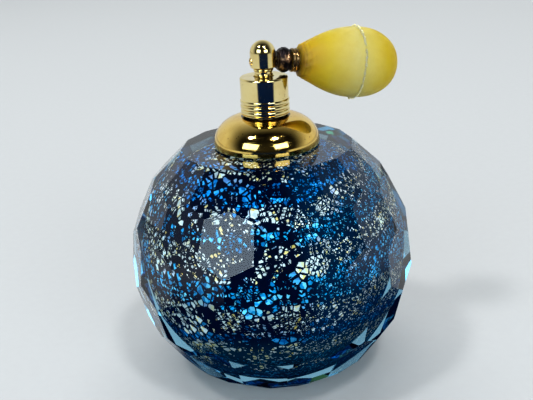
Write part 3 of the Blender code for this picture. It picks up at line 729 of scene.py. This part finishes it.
def crackle_core(material):
    """The foil core round its perfume well: a sphere outside, an ellipse and a rounded floor inside, all
    turned about Z, and meeting at the mouth."""
    mouth = NECK_RADIUS + NECK_GAP
    start = math.degrees(math.acos(mouth / CORE_RADIUS))
    skin = arc((0.0, CORE_CENTRE_Z), (CORE_RADIUS, CORE_RADIUS), -90, start, 96)
    shoulder = (WELL_RADIUS - mouth, NECK_LOW[2] - WELL_SHOULDER_Z)
    well = arc((mouth, WELL_SHOULDER_Z), shoulder, 90, 0, 24)
    corner = arc((WELL_RADIUS - WELL_CORNER, WELL_FLOOR_Z + WELL_CORNER), (WELL_CORNER,) * 2, 0, -90, 10)
    skin[0, 0] = 0.0
    points = outline(skin, well, corner, (0.0, WELL_FLOOR_Z))
    grid = turned(points, WELL_SIDES)
    piece("crackle_core", grid, material, "bottle", ["foil_core"], closed=False)


def glass_neck(material):
    """The glass neck that stands in the core's mouth: a tube with a fire-rounded lip."""
    lip = (NECK_RADIUS - NECK_BORE_RADIUS) / 2
    points = outline((NECK_BORE_RADIUS, NECK_LOW[2]), (NECK_RADIUS, NECK_LOW[2]),
                     arc((NECK_BORE_RADIUS + lip, NECK_HIGH[2] - lip), (lip, lip), 0, 180, 12))
    piece("fired_neck", turned(points, FINE_SIDES), material, "bottle", ["glass_neck"])


def polished_dome(material):
    """A quarter ellipse turned about Z, with an eased foot and a hollow inside."""
    centre = (DOME_SHOULDER_RADIUS, DOME_WIDEST_Z)
    outer = (DOME_RADIUS - DOME_SHOULDER_RADIUS, DOME_HIGH[2] - DOME_WIDEST_Z)
    inside = (outer[0] - DOME_WALL, outer[1] - DOME_WALL)
    foot, ease = DOME_LOW[2], DOME_FOOT_EASE
    points = outline(
        (DOME_HOLE, DOME_HIGH[2]), arc(centre, outer, 90, 0, 56),
        arc((DOME_RADIUS - ease, foot + ease), (ease, ease), 0, -90, 10), (DOME_RADIUS - DOME_WALL, foot),
        arc(centre, inside, 0, 90, 20), (DOME_HOLE, DOME_HIGH[2] - DOME_WALL))
    piece("polished_dome", turned(points), material, "bottle", ["shoulder_dome"])


def threaded(points, sides, rows, pitch, depth, low, high):
    """A lathe grid whose rows (a slice) carry a screw thread: the radius gains depth times a raised cosine
    of z / pitch - angle / turn, cut off at 0 and 1 and faded out at the two ends of the thread."""
    grid = turned(points, sides)
    angle = np.linspace(0, 2 * math.pi, sides, endpoint=False)
    height = grid[..., 2]
    phase = height / pitch - angle / (2 * math.pi)
    ridge = np.clip(0.5 + 0.75 * np.cos(2 * math.pi * phase), 0.0, 1.0)
    fade = np.clip((height - low) / pitch, 0, 1) * np.clip((high - height) / pitch, 0, 1)
    gain = depth * ridge * np.clip(fade * 2, 0, 1)
    radius = np.hypot(grid[..., 0], grid[..., 1])
    grid[rows, :, :2] *= (1 + gain / radius)[rows, :, None]
    return grid


def neck_ferrule(material):
    """The flanged cap on the glass neck, with a cut thread."""
    low, high = span("neck_ferrule")
    inner, flange, lip = NECK_RADIUS + NECK_GAP, high[0], FERRULE_HOLE_RADIUS
    foot, top, ledge = low[2], high[2], low[2] + FERRULE_FLANGE
    wall = straight(THREAD_ROOT, foot + 2.0, top - 0.35, FERRULE_STEPS)
    skirt = outline((inner, foot), (flange - 0.1, foot), (flange, foot + 0.1), (flange, ledge - 0.1),
                    (flange - 0.1, ledge), (THREAD_ROOT + 0.5, ledge), (THREAD_ROOT, ledge + 0.4))
    points = outline(skirt, wall, (THREAD_ROOT - 0.2, top), (lip + 0.1, top), (lip, top - 0.1),
                     (lip, NECK_HIGH[2] + NECK_GAP), (inner, NECK_HIGH[2] + NECK_GAP))
    rows = slice(len(skirt), len(skirt) + len(wall))
    grid = threaded(points, FINE_SIDES, rows, THREAD_PITCH, THREAD_DEPTH, THREAD_FOOT_Z, top - 0.6)
    piece("threaded_ferrule", grid, material, "bottle", ["neck_ferrule"])


def ribbed_collar(material):
    """The screw collar: half-ellipse ribs round its lower part, a rounded top edge and a holed lid."""
    foot, top = COLLAR_LOW[2], COLLAR_HIGH[2]
    edge, under = 0.55, top - COLLAR_LIP
    ribs = [arc((COLLAR_RADIUS - 0.03, rib), (RIB_HEIGHT + 0.03, RIB_HALF), -88, 88, 14) for rib in RIBS]
    points = outline(
        (COLLAR_BORE_RADIUS, foot), (COLLAR_RADIUS - 0.15, foot), (COLLAR_RADIUS - 0.03, foot + 0.1), *ribs,
        (COLLAR_RADIUS - 0.03, RIBS[-1] + RIB_HALF + 0.15), (COLLAR_RADIUS, RIBS[-1] + RIB_HALF + 0.3),
        arc((COLLAR_RADIUS - edge, top - edge), (edge, edge), 0, 90, 10),
        arc((COLLAR_HOLE_RADIUS + 0.2, top - 0.2), (0.2, 0.2), 90, 180, 4),
        (COLLAR_HOLE_RADIUS, under), (COLLAR_BORE_RADIUS - 0.3, under), (COLLAR_BORE_RADIUS, under - 0.3))
    piece("ribbed_collar", turned(points), material, "collar", ["screw_collar"])


def collar_liner(material):
    """The threaded sleeve inside the collar."""
    low, high = span("collar_liner")
    outer = high[0]
    root = outer - LINER_WALL
    wall = straight(root, high[2] - 0.05, low[2] + 0.05, LINER_STEPS)
    points = outline((outer, low[2]), (outer, high[2]), (root, high[2]), wall, (root, low[2]))
    rows = slice(3, 3 + LINER_STEPS)
    depth = LINER_CREST_RADIUS - root
    grid = threaded(points, FINE_SIDES, rows, THREAD_PITCH, depth, low[2] + 0.4, high[2] - 0.4)
    piece("threaded_liner", grid, material, "collar", ["collar_liner"])


def small_rings(materials):
    """The cement, gasket, washer and bush: eased rings turned about Z."""
    for node_name, name, slot, body, inner in (
            ("neck_cement", "cement_ring", "cement", "bottle", CEMENT_BORE_RADIUS),
            ("seal_gasket", "rubber_gasket", "gasket_rubber", "gasket", SEAL_BORE_RADIUS),
            ("slip_washer", "steel_washer", "steel", "washer", SEAL_BORE_RADIUS),
            ("tube_bush", "stem_bush", "pale_plastic", "head", BUSH_BORE_RADIUS)):
        low, high = span(node_name)
        ring = ring_section(inner, high[0], low[2], high[2])
        piece(name, turned(eased(ring, 0.1), 64), materials[slot], body, [node_name])


# ---- spray head

def ringed_stem(material):
    """The stem: a spigot and flange inside the collar, then a thin ring and a bead under the head."""
    foot, tip = STEM_LOW[2], STEM_HIGH[2]
    bead_top, neck, lid = HEAD_LOW[2] - 0.3, STEM_NECK_RADIUS, COLLAR_HIGH[2]
    flange_top = STEM_FLANGE_Z + STEM_FLANGE_THICKNESS
    points = outline(
        (STEM_SOCKET_RADIUS, foot), (STEM_SPIGOT_RADIUS, foot), (STEM_SPIGOT_RADIUS, STEM_FLANGE_Z),
        (STEM_FLANGE_RADIUS, STEM_FLANGE_Z), (STEM_FLANGE_RADIUS, flange_top), (neck, flange_top),
        arc((neck, lid + 0.55), (0.2, 0.3), -90, 90, 8),
        arc((neck, bead_top - STEM_BEAD_HALF), (STEM_BEAD_RADIUS - neck, STEM_BEAD_HALF), -90, 90, 16),
        (STEM_TIP_RADIUS, bead_top), (STEM_TIP_RADIUS, tip), (STEM_BORE_RADIUS, tip),
        (STEM_BORE_RADIUS, STEM_SOCKET_TOP_Z), (STEM_SOCKET_RADIUS, STEM_SOCKET_TOP_Z))
    piece("ringed_stem", turned(points, FINE_SIDES), material, "head", ["head_stem"])


def round_head(material):
    """The turret: a short drum with an eased foot under half a ball, and a flat towards the arm.

    The flat comes from holding x at its limit, and the arm's hole in it is hidden by the arm.
    """
    foot, crown = HEAD_LOW[2], HEAD_HIGH[2]
    shoulder = crown - HEAD_RADIUS
    points = outline(
        (0.0, foot), (HEAD_RADIUS - 0.3, foot),
        arc((HEAD_RADIUS - 0.16, foot + 0.16), (0.16, 0.16), -60, 0, 6),
        arc((0.0, shoulder), (HEAD_RADIUS, HEAD_RADIUS), 0, 90, 36))
    points[-1, 0] = 0.0
    grid = turned(points)
    grid[..., 0] = np.minimum(grid[..., 0], HEAD_FLAT_X)
    piece("round_head", grid, material, "head", ["spray_head"], closed=False)


def jet_disc(material):
    """The nozzle: a dished disc round the jet's hole."""
    front, outer, hole = HEAD_RADIUS + 0.15, JET_RADIUS, JET_HOLE_RADIUS
    points = outline(
        (0.8, 1.3), (outer, 1.3), arc((outer - 0.12, front - 0.12), (0.12, 0.12), 0, 90, 4),
        arc((hole, front), (0.55, 0.3), 0, -90, 6), (hole, 3.3), (0.8, 2.8))
    grid = laid_along(turned(points, 48), np.array([0.0, 0.0, JET_Z]), np.array([-1.0, 0.0, 0.0]))
    piece("jet_disc", grid, material, "head", ["nozzle_insert"])


def dip_tube(material):
    """The straight tube down into the well, its foot cut square."""
    low, high = span("dip_tube")
    ring = ring_section(TUBE_BORE_RADIUS, high[0], low[2], high[2])
    piece("perfume_tube", turned(eased(ring, 0.08), 48), material, "head", ["dip_tube"])


def screw_arm(material):
    """The side arm: a plain root and a threaded end that carries the ball nut."""
    wall = straight(ARM_RADIUS, 0.7, ARM_END - 0.05, ARM_STEPS)
    points = outline((ARM_BORE_RADIUS, ARM_START), (ARM_RADIUS, ARM_START), wall, (0.9, ARM_END),
                     (ARM_BORE_RADIUS, ARM_END))
    rows = slice(2, 2 + ARM_STEPS)
    grid = threaded(points, 48, rows, ARM_PITCH, ARM_THREAD_DEPTH, 0.9, ARM_END + 0.1)
    piece("screw_arm", on_arm(grid), material, "head", ["air_arm"])


# ---- ball nut and bulb

def knurled_nut(material):
    """The ball nut: an ellipse turned round the arm, its radius raised by lumps from crossed uneven waves."""
    middle = (NUT_START + NUT_END) / 2
    half = (NUT_END - NUT_START) / 2
    face = math.degrees(math.asin(half / NUT_SWELL))
    skin = arc((0.0, middle), (NUT_RADIUS - 0.12, NUT_SWELL), -face, face, NUT_STEPS)
    points = outline((NUT_BORE_RADIUS, skin[0, 1]), skin, (NUT_CHAMBER_RADIUS, skin[-1, 1]),
                     (NUT_CHAMBER_RADIUS, NUT_CHAMBER), (NUT_BORE_RADIUS, NUT_CHAMBER))
    grid = turned(points, FINE_SIDES)
    angle = np.linspace(0, 2 * math.pi, FINE_SIDES, endpoint=False)[None, :]
    height = skin[:, 1:]
    part = np.linspace(-1, 1, len(skin))[:, None]
    lumps = waves(angle + 0.5 * height, (4, 7), 4) * waves(1.5 * height - angle * 2, (1, 2), 5)
    lumps = NUT_LUMPS * np.tanh(3 * lumps) * (1 - part ** 8)
    rows = slice(1, 1 + len(skin))
    radius = np.hypot(grid[rows, :, 0], grid[rows, :, 1])
    grid[rows, :, :2] *= (1 + np.minimum(lumps, 0.12) / radius)[..., None]
    piece("knurled_nut", on_arm(grid), material, "bulb", ["ball_nut"])


def thin_washer(material):
    """The thin disc between the head and the nut."""
    ring = ring_section(*WASHER_RADII, WASHER_START, WASHER_END)
    grid = on_arm(turned(eased(ring, 0.1), 64))
    piece("thin_washer", grid, material, "arm_washer", ["nut_washer"])


def bead_ring(material):
    """The ring on the bulb's neck: two half-ellipse beads."""
    bore = BULB_NECK_RADIUS + 0.3
    half = (RING_END - RING_START) / 4
    bulge = (RING_BEAD_RADIUS - RING_RADIUS, half)
    points = outline((bore, RING_START), arc((RING_RADIUS, RING_START + half), bulge, -90, 90, 16),
                     arc((RING_RADIUS, RING_END - half), bulge, -90, 90, 16), (bore, RING_END))
    piece("bead_ring", on_arm(turned(points, FINE_SIDES)), material, "bulb", ["bulb_ferrule"])


def bulb_profile(shrink, steps):
    """The bulb from its shoulder to its far pole, moved in by shrink: the radius swells as a quarter sine
    wave to the widest circle, then closes as a superellipse."""
    part = np.linspace(0, 1, steps, endpoint=False)
    swell = BULB_SHOULDER_RADIUS + (BULB_RADIUS - BULB_SHOULDER_RADIUS) * np.sin(part * math.pi / 2)
    start = BULB_SHOULDER + 1.0
    first = np.stack([swell - shrink, start + (BULB_WIDEST - start) * part], axis=1)
    angle = math.pi / 2 * np.linspace(0, 1, steps + 1)
    power = 2 / BULB_FULLNESS
    radius = (BULB_RADIUS - shrink) * np.cos(angle) ** power
    radius[-1] = 0.0
    reach = BULB_END - shrink - BULB_WIDEST
    second = np.stack([radius, BULB_WIDEST + reach * np.sin(angle) ** power], axis=1)
    return np.vstack([first, second])


def rubber_bulb(material, seam_material):
    """The squeeze bulb: its turned profile with puckered rings fading from the neck, soft dents and a
    ragged moulding seam round its widest circle."""
    bore, lip = BULB_BORE_RADIUS, RING_START + 0.3
    room = BULB_SHOULDER + 1.0 + BULB_WALL
    inside = bulb_profile(BULB_WALL, 24)
    inside = inside[inside[:, 1] > room][::-1]
    neck = outline(inside, (bore, room), (bore, lip), (BULB_NECK_RADIUS, lip),
                   (BULB_NECK_RADIUS, BULB_SHOULDER))
    fillet = BULB_NECK_RADIUS + 0.6
    shoulder = arc((fillet, BULB_SHOULDER + 1.0), (BULB_SHOULDER_RADIUS - fillet, 1.0), -80, -10, 10)
    skin = bulb_profile(0.0, 72)
    points = outline(neck, shoulder, skin)
    grid = turned(points, FINE_SIDES)
    first = len(neck)
    outer = points[first:]
    angle = np.linspace(0, 2 * math.pi, FINE_SIDES, endpoint=False)[None, :]
    along = outer[:, 1:]
    pucker = np.exp(-((along - BULB_PUCKER) / 1.6) ** 2) * 0.10
    rings = pucker * np.cos(2 * math.pi * along / 1.15 + 0.9 * waves(angle, (2, 3, 5), 7))
    folds = np.exp(-((along - BULB_PUCKER) / 2.2) ** 2) * 0.20 * waves(angle + 0.1 * along, (9, 13, 17), 8)
    middle = np.sin(math.pi * (along - BULB_SHOULDER) / (BULB_END - BULB_SHOULDER))
    dents = BULB_DENTS * waves(angle + 0.05 * along, (2, 3, 4), 9) * middle
    seam = 0.10 * np.exp(-((along - BULB_WIDEST) / 0.35) ** 2)
    near_pole = np.clip((BULB_END - along) / 4, 0, 1)
    relief = (rings + folds + dents - BULB_SINK) * near_pole + seam
    grid[first:, :, :2] *= (1 + relief / np.maximum(outer[:, :1], 2.0))[..., None]
    bulb = piece("rubber_bulb", on_arm(grid), material, "bulb", ["squeeze_bulb"], closed=False)

    turn = np.linspace(0, 2 * math.pi, SEAM_SIDES, endpoint=False)
    ragged = 0.40 + 0.60 * waves(turn, (7, 19, 31, 53, 83), 11) + 0.25 * waves(turn, (97, 131, 163), 12)
    ragged = np.clip(ragged, 0.10, 1.30) * (0.5 + 0.5 * np.cos(turn - math.pi) ** 2)
    sway = 0.30 * waves(turn, (2, 3, 5, 23), 13)
    foot = BULB_RADIUS - SEAM_FOOT + 0 * turn
    dent = BULB_DENTS * waves(turn + 0.05 * BULB_WIDEST, (2, 3, 4), 9) - BULB_SINK
    crest = BULB_RADIUS + dent + ragged
    thin, thick = 0.26, 0.52
    rows = [(foot, -thick), (crest - 0.15, -thin), (crest, 0.0), (crest - 0.15, thin), (foot, thick)]
    ring = [np.stack([r * np.cos(turn), r * np.sin(turn), BULB_WIDEST + sway + z], axis=1) for r, z in rows]
    seam_piece = piece("bulb_seam", on_arm(np.stack(ring)), seam_material, "bulb")
    for soft in (bulb, seam_piece):
        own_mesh(soft)


def keep_fittings(materials):
    """Small fittings whose shape is already right get their finish."""
    for name, material in (("liquid_jet", "steel"), ("valve_retainer", "inner_brass"),
                           ("valve_ball", "steel"), ("bulb_plug", "inner_brass")):
        for place in frame["nodes"][name].material_slots:
            place.material = materials[material]


# ---- light and camera

WHITE = (1.0, 1.0, 1.0)
PANELS = (                     # place, size, power and colour
    ("left_window", (-1.65, -1.21, 1.01), (1.30, 1.0), 13.0, (0.80, 0.97, 1.10)),
    ("right_window", (0.59, -1.98, 0.97), (1.15, 0.85), 12.0, (0.90, 0.98, 1.05)),
    ("left_lamp", (-1.04, -0.28, 1.96), (0.26, 0.26), 18.0, WHITE),
    ("right_lamp", (0.26, -1.04, 1.98), (0.26, 0.26), 18.0, WHITE),
    ("top_panel", (0.22, 0.99, 2.10), (2.4, 1.8), 40.0, WHITE))
FLOOR_HALF = 4.0
FRONT = (-0.242, -0.874, 0.42)  # up and to the front, where the surround is dark
PERSON = (-0.167, -0.986, 0.0)  # towards whoever stands in front


def panel(name, place, size, power, colour):
    """A rectangular soft light in metres, turned to face the ball, and left out of what gloss shows if it
    is the top panel."""
    data = bpy.data.lights.new(name, "AREA")
    data.shape = "RECTANGLE"
    data.size, data.size_y = size
    data.energy = power
    data.color = colour
    lamp = bpy.data.objects.new(name, data)
    lamp.visible_glossy = name != "top_panel"
    way = Vector((0.0, 0.0, float(BALL_CENTRE_Z * MM))) - Vector(place)
    lamp.matrix_world = Matrix.Translation(place) @ way.to_track_quat("-Z", "Y").to_matrix().to_4x4()
    bpy.context.collection.objects.link(lamp)


def mirrored(tree):
    """1 for what is seen by reflection in metal or glass, 0 for what is seen directly or through glass."""
    path = node(tree, "LightPath").outputs
    return times(tree, path["Is Glossy Ray"], less(tree, 1.0, path["Is Transmission Ray"]))


def pale_floor():
    """A pale paper floor.  Gloss sees it painted dark, a painted shadow towards the person in front and close
    to the bottle, and scattered light finds it painted brighter than the eye does."""
    floor = bpy.data.meshes.new("floor")
    corners = [(x * FLOOR_HALF, y * FLOOR_HALF, 0) for x, y in ((-1, -1), (1, -1), (1, 1), (-1, 1))]
    floor.from_pydata(corners, [], [(0, 1, 2, 3)])
    material, tree, shader, place = new_material("pale_paper", Roughness=0.9, Specular_IOR_Level=0.0)
    paper = mixed(tree, noise(tree, place, 300.0, 4.0), (0.325, 0.332, 0.335), (0.340, 0.348, 0.351))
    ahead = vector_maths(tree, "DOT_PRODUCT", vector_maths(tree, "NORMALIZE", place), PERSON)
    close = ranged(tree, vector_maths(tree, "LENGTH", place), 0.21, 0.15)
    close = times(tree, close, ranged(tree, ahead, -0.2, 0.1))
    # painted shadow: only for reflections, the floor is dark in front and close to the bottle
    painted_shadow = times(tree, maths(tree, "MAXIMUM", ranged(tree, ahead, 0.74, 0.82), close), mirrored(tree))
    scattered = node(tree, "LightPath").outputs["Diffuse Depth"]
    # painted light: scattered light sees the paper brighter, as extra fill
    paper = mixed(tree, maths(tree, "MINIMUM", scattered, 1.0), paper, (0.58, 0.60, 0.61))
    feed(tree, shader, Base_Color=mixed(tree, painted_shadow, paper, (0.002, 0.008, 0.045)))
    floor.materials.append(material)
    ground = bpy.data.objects.new("floor", floor)
    bpy.context.collection.objects.link(ground)


def surround():
    """A world that is pale behind and at the sides, duller overhead and, for gloss, dark in front; other
    light gets a fill from the front."""
    world = bpy.data.worlds.new("studio")
    bpy.context.scene.world = world
    world.use_nodes = True
    tree = world.node_tree
    background = tree.nodes["Background"]
    way = node(tree, "TexCoord").outputs["Generated"]
    height = node(tree, "SeparateXYZ", {0: way}).outputs[2]
    front = vector_maths(tree, "DOT_PRODUCT", way, FRONT)
    behind = ranged(tree, front, 0.55, -0.20, 0.015, 0.66)
    fill = ranged(tree, vector_maths(tree, "DOT_PRODUCT", way, PERSON), 0.35, 1.0, 0.60, 2.50)
    behind = maths(tree, "MAXIMUM", behind, times(tree, less(tree, 1.0, mirrored(tree)), fill))
    light = times(tree, behind, ranged(tree, height, 0.45, 0.9, 1.0, 0.40))
    tree.links.new(scaled(tree, (0.92, 0.97, 1.0), light), background.inputs["Color"])
    background.inputs["Strength"].default_value = 1.0


CAMERA_ANGLES = (-15.5, 21.07, -0.25, -2.9)  # turn about Z, pitch down, yaw and roll, in degrees
CAMERA_PLACE = (0.0, -0.2419, 0.1497)          # before the turn
LENS = 54.03


def camera():
    """A camera in front and above, a little to the left of the bulb's square-on view."""
    turn, pitch, yaw, roll = (math.radians(value) for value in CAMERA_ANGLES)
    ahead = Vector((math.sin(yaw) * math.cos(pitch), math.cos(yaw) * math.cos(pitch), -math.sin(pitch)))
    right = Vector((math.cos(yaw), -math.sin(yaw), 0.0))
    up = right.cross(ahead)
    across = right * math.cos(roll) + up * math.sin(roll)
    above = -right * math.sin(roll) + up * math.cos(roll)
    matrix = Matrix((across, above, -ahead)).transposed().to_4x4()
    matrix.translation = Vector(CAMERA_PLACE)
    data = bpy.data.cameras.new("camera")
    data.lens = LENS
    data.sensor_width = 36.0
    data.clip_start = 0.01
    made = bpy.data.objects.new("camera", data)
    bpy.context.collection.objects.link(made)
    made.matrix_world = Matrix.Rotation(turn, 4, "Z") @ matrix
    bpy.context.scene.camera = made


def build():
    gold, deep_gold = (0.88, 0.74, 0.36), (0.74, 0.56, 0.22)
    materials = {
        "crystal": crystal_material(),
        "foil_glass": foil_material(),
        "navy_glass": plain_material(
            "navy_glass", (0.004, 0.012, 0.035), (0.006, 0.03, 0.05), 0.15, scale=120.0),
        "polished_brass": brass_material("polished_brass", gold, deep_gold, 0.06, 0.05),
        "dome_brass": brass_material("dome_brass", (0.92, 0.66, 0.20), (0.74, 0.44, 0.08), 0.05, 0.05, True),
        "inner_brass": brass_material("turned_brass", (0.80, 0.58, 0.25), (0.58, 0.38, 0.14), 0.22, 0.15),
        "dark_brass": tarnished_material(),
        "ring_brass": ferrule_material(),
        "bulb_rubber": rubber_material("aged_rubber", False),
        "seam_rubber": rubber_material("seam_rubber", True),
        "cement": plain_material("set_cement", (0.72, 0.70, 0.62), (0.60, 0.57, 0.50), 0.8),
        "steel": plain_material("bright_steel", (0.72, 0.72, 0.74), (0.58, 0.58, 0.60), 0.18, 1.0),
        "gasket_rubber": plain_material("gasket_rubber", (0.05, 0.05, 0.05), (0.09, 0.088, 0.085), 0.6),
        "clear_plastic": plain_material(
            "milky_tube", (0.86, 0.88, 0.87), (0.78, 0.80, 0.78), 0.2, Transmission_Weight=0.6),
        "pale_plastic": plain_material("pale_plastic", (0.86, 0.85, 0.80), (0.78, 0.76, 0.70), 0.4),
    }
    crystal_casing(materials["crystal"])
    crackle_core(materials["foil_glass"])
    glass_neck(materials["navy_glass"])
    polished_dome(materials["dome_brass"])
    neck_ferrule(materials["inner_brass"])
    ribbed_collar(materials["polished_brass"])
    collar_liner(materials["pale_plastic"])
    small_rings(materials)
    ringed_stem(materials["polished_brass"])
    round_head(materials["polished_brass"])
    jet_disc(materials["inner_brass"])
    dip_tube(materials["clear_plastic"])
    screw_arm(materials["inner_brass"])
    knurled_nut(materials["dark_brass"])
    thin_washer(materials["dark_brass"])
    bead_ring(materials["ring_brass"])
    rubber_bulb(materials["bulb_rubber"], materials["seam_rubber"])
    keep_fittings(materials)


bpy.context.scene.view_settings.view_transform = "Standard"
bpy.context.scene.view_settings.look = "Medium High Contrast"
camera()
pale_floor()
surround()
for settings in PANELS:
    panel(*settings)
build()
